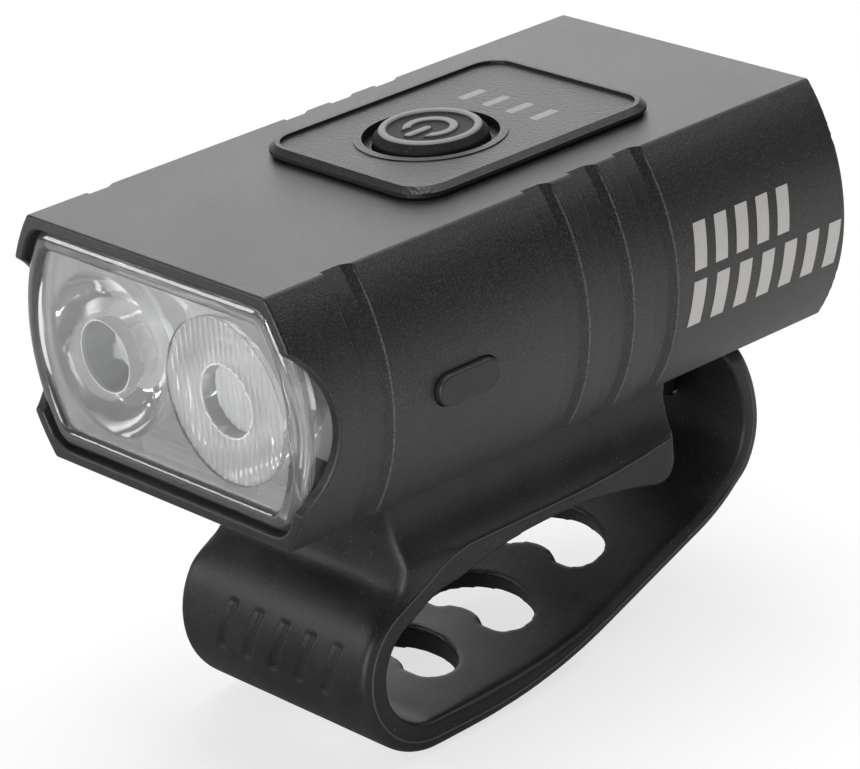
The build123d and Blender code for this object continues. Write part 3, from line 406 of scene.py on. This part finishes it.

# Top panel: a black plastic bezel, grained like fine hide in the mould. It is plugged
# through the housing's top on a rubber seal. Pale specks in its colour are painted sparkle
# of that grain.
bezel, at, shader = surface("panel_plastic", (0.014, 0.014, 0.015), IOR=1.5)
hide = at.noise(2600, rough=0.55)
spark = at.noise(6000, rough=0.6)
feed(
    shader,
    # Pale specks painted into the colour: painted sparkle of the grain
    Base_Color=spark.between(0.6, 0.75).shades((0.008, 0.008, 0.009), (0.03, 0.03, 0.031)),
    Roughness=0.30 + 0.10 * hide + 0.10 * spark,
    Normal=(hide + 0.3 * spark).bump(0.6, 0.00014),
)
dress(bezel, "top_panel")

# Lens gasket and rear gasket: rings of black silicone. One is squeezed between the lens and
# the inner frame, the other lies in a groove round the rear cap's collar.
seal_rubber, at, shader = surface("seal_rubber", (0.006, 0.006, 0.006))
feed(shader, Roughness=0.6 + 0.1 * at.noise(2000))
dress(seal_rubber, "lens_gasket", "rear_gasket")

# Charge windows: four light guides of smoked plastic over the charge lights. They stand in
# slots of the panel, flush with its face.
smoked, at, shader = surface("window_smoke", (0.15, 0.15, 0.15))
feed(
    shader,
    Base_Color=at.noise(1500).shades((0.07, 0.07, 0.07), (0.12, 0.12, 0.12)),
    Roughness=0.25 + 0.1 * at.noise(2500),
)
for number in (1, 2, 3, 4):
    dress(smoked, f"indicator_window_{number}")

# Power button: a cap moulded in satin black rubber, which slides in the top panel and
# presses the switch's plunger. Its lip and standby symbol stand up, and their crests are
# rubbed pale. Moulded rubber has no sharp edge, so each such piece is skinned anew and eased.
button_dish_z = 0.0388
crest_height = 0.00013
button_grain = 0.00012
button_rounds = 3
button_rubber, at, shader = surface(
    "button_rubber", (0.02, 0.02, 0.02), Specular_IOR_Level=0.2
)
speck = at.noise(3800)
crest = at.axis("Z").between(
    button_dish_z + 0.8 * crest_height, button_dish_z + 1.6 * crest_height
)
dust = at.noise(5200, detail=1).between(0.70, 0.76)
feed(
    shader,
    Base_Color=(0.9 * crest + 0.35 * dust).shades((0.007, 0.007, 0.008), (0.26, 0.26, 0.27)),
    Roughness=0.5 + 0.16 * speck,
    Normal=speck.bump(0.3, 0.00003),
)


def joined_copies(names, moved=None):
    """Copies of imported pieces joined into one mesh, each point passed through moved."""
    joined = bmesh.new()
    for name in names:
        piece = nodes[name]
        start = len(joined.verts)
        joined.from_mesh(piece.data)
        joined.verts.ensure_lookup_table()
        for vertex in joined.verts[start:]:
            place = piece.matrix_world @ vertex.co
            vertex.co = moved(name, place) if moved else place
    return joined


def skinned(joined, grain, rounds, name):
    """One even skin over a joined mesh, smoothed until its edges are eased."""
    rough = bpy.data.meshes.new(name)
    joined.to_mesh(rough)
    joined.free()
    made = placed(name, rough)
    skin = made.modifiers.new("skin", "REMESH")
    skin.mode = "VOXEL"
    skin.voxel_size = grain
    soften = made.modifiers.new("soften", "SMOOTH")
    soften.factor = 0.5
    soften.iterations = rounds
    depsgraph = bpy.context.evaluated_depsgraph_get()
    finished = bpy.data.meshes.new_from_object(made.evaluated_get(depsgraph))
    bpy.data.objects.remove(made)
    finished.shade_smooth()
    return finished


def soft_piece(name, node, grain, rounds, made_of, body):
    """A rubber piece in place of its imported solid."""
    mesh = skinned(joined_copies([node]), grain, rounds, name)
    mesh.materials.clear()
    mesh.materials.append(made_of)
    made = placed(name, mesh)
    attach(made, body)
    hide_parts(node)


soft_piece(
    "button_cap", "power_button", button_grain, button_rounds, button_rubber,
    body="button",
)

# Panel seal: a bead of soft black rubber, squeezed between the panel's edge and the housing.
# It shows as a dark line round the panel.
panel_seal_grain = 0.00012
panel_seal_rounds = 2
soft_piece(
    "panel_seal_bead", "panel_seal", panel_seal_grain, panel_seal_rounds, seal_rubber,
    body="light",
)

# Port cover: a flap of soft black rubber over the charging socket. It is hinged in the rear
# cap by its own thin top edge.
port_cover_grain = 0.00016
port_cover_rounds = 3
soft_piece(
    "port_flap_skin", "port_cover", port_cover_grain, port_cover_rounds, seal_rubber,
    body="port_flap",
)

# Strap: black silicone moulded in one piece, with the saddle that stands on the mount plate,
# the front curl, the perforated strand and the tail that hooks up behind. Its skin is satin
# with pale dust, and a fine flash line runs along each side where the mould halves met.
strap_bend_front = Vector((0, -0.0264032, -0.00973292))
strap_bend_rear = Vector((0, 0.0273376, -0.00637967))
rear_heading = math.radians(40)
tail_along = Vector((0, math.cos(rear_heading), math.sin(rear_heading)))
strap_grain = 0.00026
strap_rounds = 9

silicone, at, shader = surface("black_silicone", (0.014, 0.014, 0.016), IOR=1.42)
film = at.noise(160, detail=3, rough=0.6)
speck = at.noise(4200, detail=3, rough=0.6)
dust = at.noise(5200, detail=1).between(0.72, 0.76)
skin_tone = film.between(0.35, 0.7).shades((0.009, 0.009, 0.011), (0.019, 0.019, 0.021))
feed(
    shader,
    Base_Color=(0.35 * dust).shades(skin_tone, (0.30, 0.29, 0.27)),
    Roughness=0.34 + 0.14 * film + 0.10 * speck,
    Normal=(speck + dust).bump(0.4, 0.00006),
)
flash_edge, at, shader = surface("flash_edge", (0.06, 0.057, 0.052))
feed(shader, Roughness=0.5 + 0.2 * at.noise(2500))

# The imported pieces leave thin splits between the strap's bodies and hollows round the mount
# plate, which are shut before the strap is skinned as one.
strap_split = 0.0002
touching = 0.0001
neck_top = 0.01115
mount_plate_end = 0.0165
strand_rear = 0.02


def splits_shut(name, place):
    """A strap point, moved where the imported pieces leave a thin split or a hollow."""
    if name == "mount_plate":
        place.y = min(place.y, mount_plate_end)
    if name == "strap_saddle" and place.z > neck_top - touching:
        place.z += 2 * strap_split
    if name == "strap_saddle" and place.z < strap_bend_front.z + touching:
        place.z -= 1.5 * strap_split
    at_rear_bend = abs((place - strap_bend_rear).dot(tail_along)) < strap_split / 4
    if name == "strap_band" and place.y > strand_rear and at_rear_bend:
        place += 1.5 * strap_split * tail_along
    return place


def eased_step(value, edge):
    """0 below zero, 1 above edge, and a smooth rise between them."""
    share = min(max(value / edge, 0.0), 1.0)
    return share * share * (3 - 2 * share)


# The moulding is well rounded at the neck's front corners and along both edges of the lower
# strand. Each pair is the place where that starts and the length over which it grows.
neck_front, neck_front_fade = -0.0125, 0.004
neck_side, neck_side_fade = 0.0075, 0.003
neck_foot, neck_foot_fade = -0.0045, 0.003
neck_easing = 90
strand_side, strand_side_fade = 0.0095, 0.002
strand_front, strand_front_fade = -0.019, 0.012
strand_roof, strand_roof_fade = -0.0045, 0.002
strand_easing = 28


def neck_corner(place):
    """1 round the front corners of the neck, fading out away from them."""
    share = eased_step(neck_front - place.y, neck_front_fade)
    share *= eased_step(abs(place.x) - neck_side, neck_side_fade)
    return share * eased_step(place.z - neck_foot, neck_foot_fade)


def strand_edge(place):
    """1 along both edges of the lower strand, 0 at its holes and on the front curl."""
    share = eased_step(abs(place.x) - strand_side, strand_side_fade)
    share *= eased_step(place.y - strand_front, strand_front_fade)
    return share * eased_step(strand_roof - place.z, strand_roof_fade)


def eased_corners(mesh, rounds, weight):
    """Smooth a mesh in place, the longer the nearer weight is to 1."""
    soft = bmesh.new()
    soft.from_mesh(mesh)
    weights = [(weight(vertex.co), vertex) for vertex in soft.verts]
    for number in range(rounds):
        chosen = [vertex for share, vertex in weights if share > number / rounds]
        bmesh.ops.smooth_vert(
            soft, verts=chosen, factor=0.5, use_axis_x=True, use_axis_y=True, use_axis_z=True
        )
    soft.to_mesh(mesh)
    soft.free()


# A generic row of slanted strokes is sunk into the front of the curl.
curl_centre = Vector((0, -0.0174, -0.00973))
curl_radius = 0.009
curl_skin = 0.0008
curl_front = curl_centre.y - 0.004
stroke_count = 5
stroke_pitch = 0.0040
stroke_width = 0.0011
stroke_slant = 0.35
stroke_top = -0.0056
stroke_bottom = -0.0112
stroke_depth = 0.00035
stroke_edge = 0.00035


def sink_strokes(mesh):
    """Press the strokes into the skin of the front curl."""
    for vertex in mesh.vertices:
        x, y, z = vertex.co
        outward = Vector((0, y - curl_centre.y, z - curl_centre.z))
        if y > curl_front or outward.length < curl_radius - curl_skin:
            continue
        along = x - stroke_slant * (z - stroke_bottom)
        number = round(along / stroke_pitch)
        if abs(number) > (stroke_count - 1) / 2:
            continue
        across = stroke_width / 2 - abs(along - number * stroke_pitch)
        up = min(z - stroke_bottom, stroke_top - z)
        depth = stroke_depth * eased_step(across + stroke_edge / 2, stroke_edge)
        depth *= eased_step(up + stroke_edge / 2, stroke_edge)
        vertex.co -= depth * outward.normalized()


# The flash line in side view: along the valley's edge on the saddle, over into the front
# curl, then inset from the strap's outer face. The strap's run behind the curl is given as
# (radius, degrees) for a bend and (0, length) for a straight.
strap_route = (
    (0.009, 155), (0, 0.0047), (0.056, 21), (0, 0.0153), (0.020, 19), (0, 0.0002),
    (0.0095, 50), (0.015, 21),
)
route_turn = math.radians(205)
bend_step = 4
straight_step = 0.0012
valley_axis = (0.01996, 0.00685)
valley_radius = 0.0077
valley_flare = 0.130
valley_flare_start = 0.001
strap_half_width = 0.0145
flash_inset = 0.0011
flash_radius = 0.00012
bead_sides = 6
saddle_run = (0.0174, 0.016, 0.014, 0.012, 0.009, 0.006, 0.003, 0.0, -0.004, -0.008, -0.011)
saddle_to_curl = ((-0.0130, 0.0010), (-0.0150, 0.0003), (-0.0168, -0.0007), (-0.0186, -0.0016))


def flash_line():
    """Side-view points of the flash line from the saddle's back end round to the tail."""
    points = []
    for y in saddle_run:
        past = max(y - valley_flare_start, 0.0)
        axis_x = valley_axis[0] + valley_flare - math.sqrt(valley_flare**2 - past**2)
        drop = math.sqrt(valley_radius**2 - (axis_x - strap_half_width) ** 2)
        points.append((y, valley_axis[1] - drop))
    points += saddle_to_curl
    heading = route_turn
    y = curl_centre.y + curl_radius * math.sin(heading)
    z = curl_centre.z - curl_radius * math.cos(heading)
    for radius, amount in strap_route:
        if radius:
            turn = math.radians(amount)
            pieces = max(2, round(amount / bend_step))
            reach = radius - flash_inset
            centre = (y - radius * math.sin(heading), z + radius * math.cos(heading))
            for i in range(1, pieces + 1):
                here = heading + turn * i / pieces
                points.append((
                    centre[0] + reach * math.sin(here), centre[1] - reach * math.cos(here)
                ))
            heading += turn
            y = centre[0] + radius * math.sin(heading)
            z = centre[1] - radius * math.cos(heading)
        else:
            pieces = max(1, round(amount / straight_step))
            for i in range(1, pieces + 1):
                run = amount * i / pieces
                points.append((
                    y + run * math.cos(heading) - flash_inset * math.sin(heading),
                    z + run * math.sin(heading) + flash_inset * math.cos(heading),
                ))
            y += amount * math.cos(heading)
            z += amount * math.sin(heading)
    return points


def add_bead(target, points, x):
    """A fine round bead along side-view points, at one side of the strap."""
    rings = []
    for number, (y, z) in enumerate(points):
        before = points[max(number - 1, 0)]
        after = points[min(number + 1, len(points) - 1)]
        length = math.hypot(after[0] - before[0], after[1] - before[1])
        normal = (-(after[1] - before[1]) / length, (after[0] - before[0]) / length)
        ring = []
        for k in range(bead_sides):
            angle = 2 * math.pi * k / bead_sides
            lift = flash_radius * math.cos(angle)
            ring.append(target.verts.new((
                x + flash_radius * math.sin(angle), y + lift * normal[0], z + lift * normal[1]
            )))
        rings.append(ring)
    for here, there in zip(rings, rings[1:]):
        for k in range(bead_sides):
            after = (k + 1) % bead_sides
            target.faces.new([here[k], here[after], there[after], there[k]]).material_index = 1
    target.faces.new(rings[0][::-1]).material_index = 1
    target.faces.new(rings[-1]).material_index = 1


# The strap is cut in two across the lower strand, since each of its two bends is a blend
# between two bodies.
strand_cut = 0.0195
strand_top = -0.006


def strap_part(whole, name, rear):
    """The part of the strap in front of or behind the cut through the lower strand."""
    part = bmesh.new()
    part.from_mesh(whole)
    bmesh.ops.bisect_plane(
        part, geom=part.verts[:] + part.edges[:] + part.faces[:],
        plane_co=(0, strand_cut, 0), plane_no=(0, 1, 0),
        clear_outer=not rear, clear_inner=rear,
    )
    rim = [edge for edge in part.edges if edge.is_boundary]
    bmesh.ops.holes_fill(part, edges=rim, sides=0)
    for edge in rim:
        edge.smooth = False
    points = flash_line()
    split = max(n for n, (y, z) in enumerate(points) if y < strand_cut and z < strand_top)
    stretch = points[split:] if rear else points[: split + 1]
    for side in (-1, 1):
        add_bead(part, stretch, side * (strap_half_width - flash_radius / 4))
    bmesh.ops.recalc_face_normals(part, faces=part.faces[:])
    for face in part.faces:
        face.smooth = True
    mesh = bpy.data.meshes.new(name)
    part.to_mesh(mesh)
    part.free()
    mesh.materials.append(silicone)
    mesh.materials.append(flash_edge)
    made = placed(name, mesh)
    return made


whole_strap = skinned(
    joined_copies(("strap_saddle", "mount_plate", "strap_band", "strap_tail"), splits_shut),
    strap_grain, strap_rounds, "strap_skin",
)
eased_corners(whole_strap, neck_easing, neck_corner)
eased_corners(whole_strap, strand_easing, strand_edge)
sink_strokes(whole_strap)
strap_front = strap_part(whole_strap, "strap_front", rear=False)
strap_rear = strap_part(whole_strap, "strap_rear", rear=True)
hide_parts("strap_saddle", "strap_band")
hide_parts("strap_tail")
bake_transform(strap_front)
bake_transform(strap_rear)

# Floor: a wide sheet of pale matt paper that the strap lies on. The camera, mirrors and glass
# see it mostly as plain white with a faint shadow, and mirrors see a dark painted shadow on it
# close under the light's front, which stands over the paper.
floor_z = -0.0195
floor_reach = 3
white_share = 0.7
under_front = (-0.03, -0.025, 0)
painted_shadow_full = 0.04
painted_shadow_end = 0.10
painted_shadow_share = 0.8
floor_mesh = bpy.data.meshes.new("floor")
floor_corners = [
    (x * floor_reach, y * floor_reach, floor_z) for x, y in ((-1, -1), (1, -1), (1, 1), (-1, 1))
]
floor_mesh.from_pydata(floor_corners, [], [(0, 1, 2, 3)])
floor = placed("floor", floor_mesh)
paper, at, shader = surface("pale_floor", (0.9, 0.9, 0.9), Roughness=0.9)
feed(shader, Base_Color=at.noise(3).shades((0.88, 0.88, 0.88), (0.92, 0.92, 0.92)))
floor_mesh.materials.append(paper)
camera_ray, glass_ray, mirror_ray = (
    at.node("LightPath", {}, {}, output=f"Is {kind} Ray")
    for kind in ("Camera", "Transmission", "Glossy")
)
seen = at.maths("MAXIMUM", camera_ray, glass_ray)
seen = at.maths("MAXIMUM", seen, mirror_ray)
white = at.node("Emission", {}, {"Color": (1, 1, 1, 1), "Strength": 1.0})
lit = mixed_shaders(white_share * seen, Socket(shader.outputs["BSDF"]), white)
# A dark diffuse shader as a painted shadow, seen only by mirrors, close under the light's front
dark = at.node("BsdfDiffuse", {}, {"Color": (0.1, 0.1, 0.1, 1.0)})
painted_shadow_near = at.stretched(1, 0.6, 0).distance_to(under_front).between(painted_shadow_end, painted_shadow_full)
cover(paper, mixed_shaders(painted_shadow_share * (mirror_ray * painted_shadow_near), lit, dark))


# Lamps: five soft studio lamps with oblong screens. The largest stands behind the light, and
# the others fill in its top, its front and its rear right corner.
def lamp(name, place, aim, width, height, watts):
    """A soft oblong lamp at a place, pointed at a spot."""
    data = bpy.data.lights.new(name, "AREA")
    data.shape = "RECTANGLE"
    data.size = width
    data.size_y = height
    data.energy = watts
    made = placed(name, data)
    made.location = place
    made.rotation_euler = (Vector(aim) - Vector(place)).to_track_quat("-Z", "Y").to_euler()


lamp("back_screen", (-0.95, 0.80, 0.52), (0, 0, 0.02), width=1.3, height=0.9, watts=8)
lamp("overhead", (-0.1, 0.1, 0.9), (-0.1, 0.1, 0), width=0.6, height=0.6, watts=6.5)
lamp("front_fill", (0.30, -0.85, 0.22), (0, 0, 0.02), width=0.5, height=0.4, watts=5.5)
lamp("front_left", (-0.86, -0.68, 0.42), (0, 0, 0.02), width=0.35, height=0.35, watts=3)
lamp("rear_right", (0.40, 0.62, 0.72), (0, 0, 0), width=0.35, height=0.35, watts=2)

# Surroundings: a plain white studio, dim enough that the lamps do most of the lighting.
# Colours are shown as they are, without a film look.
studio_strength = 0.09
world = bpy.data.worlds.new("studio")
bpy.context.scene.world = world
world.use_nodes = True
backdrop = world.node_tree.nodes["Background"]
backdrop.inputs["Color"].default_value = (1, 1, 1, 1)
backdrop.inputs["Strength"].default_value = studio_strength
bpy.context.scene.view_settings.view_transform = "Standard"
